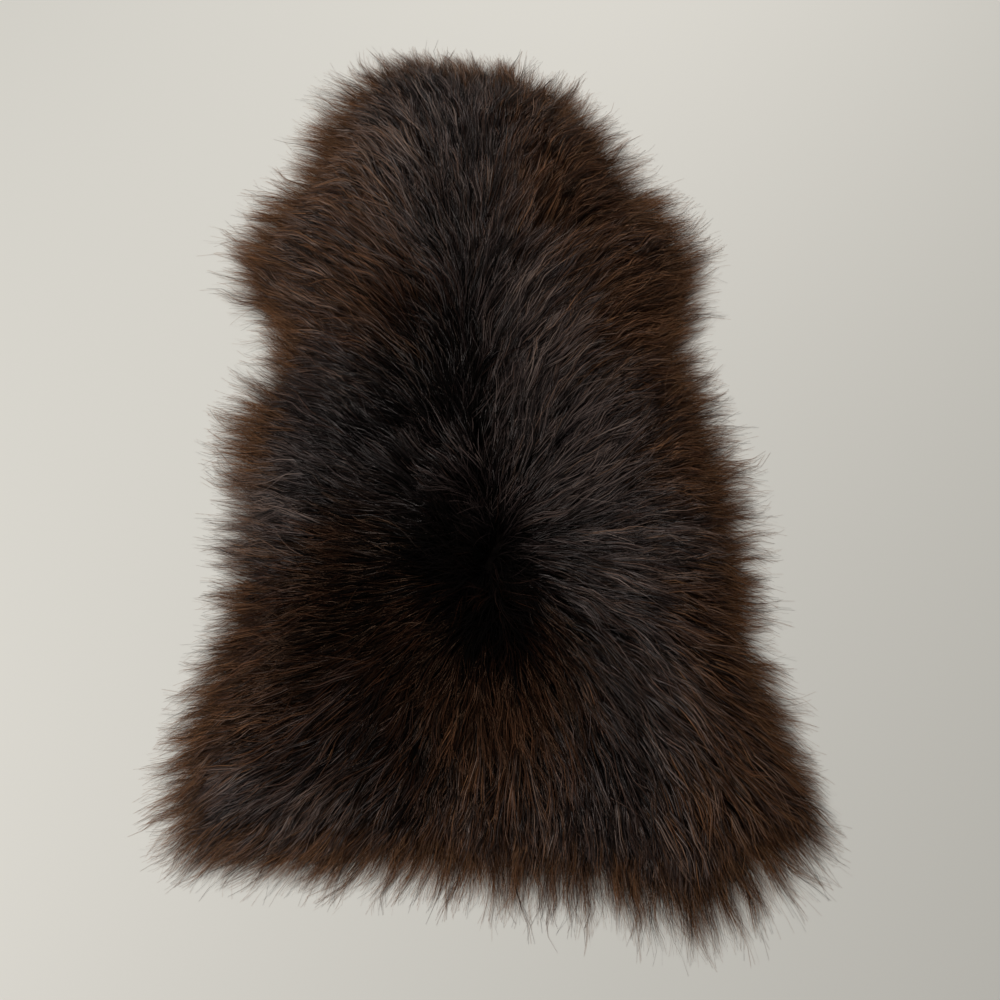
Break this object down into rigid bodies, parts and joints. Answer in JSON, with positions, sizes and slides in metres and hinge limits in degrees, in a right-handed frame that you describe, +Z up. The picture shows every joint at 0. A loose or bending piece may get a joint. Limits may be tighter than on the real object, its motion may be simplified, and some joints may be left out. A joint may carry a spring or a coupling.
{
  "type": "sheepskin rug",
  "caption": "Long-haired sheepskin lying flat, wool side up, with combed dark brown wool parted along the spine and loose wispy locks round its rim.",
  "frame": {"origin": "centre of the skin's outline on the floor, under the flat back of the skin", "axes": "+X across the skin, +Y along the spine to the head end, +Z up from the floor through the wool"},
  "size_m": [0.7986, 1.183, 0.065],
  "materials": {
    "wool": "long dark brown wool, near black along the spine and rust brown at the rim, with a soft sheen",
    "hide": "tanned suede, matt, on the underside"
  },
  "bodies": {
    "root": {"sheepskin": "wool"}
  },
  "joints": []
}
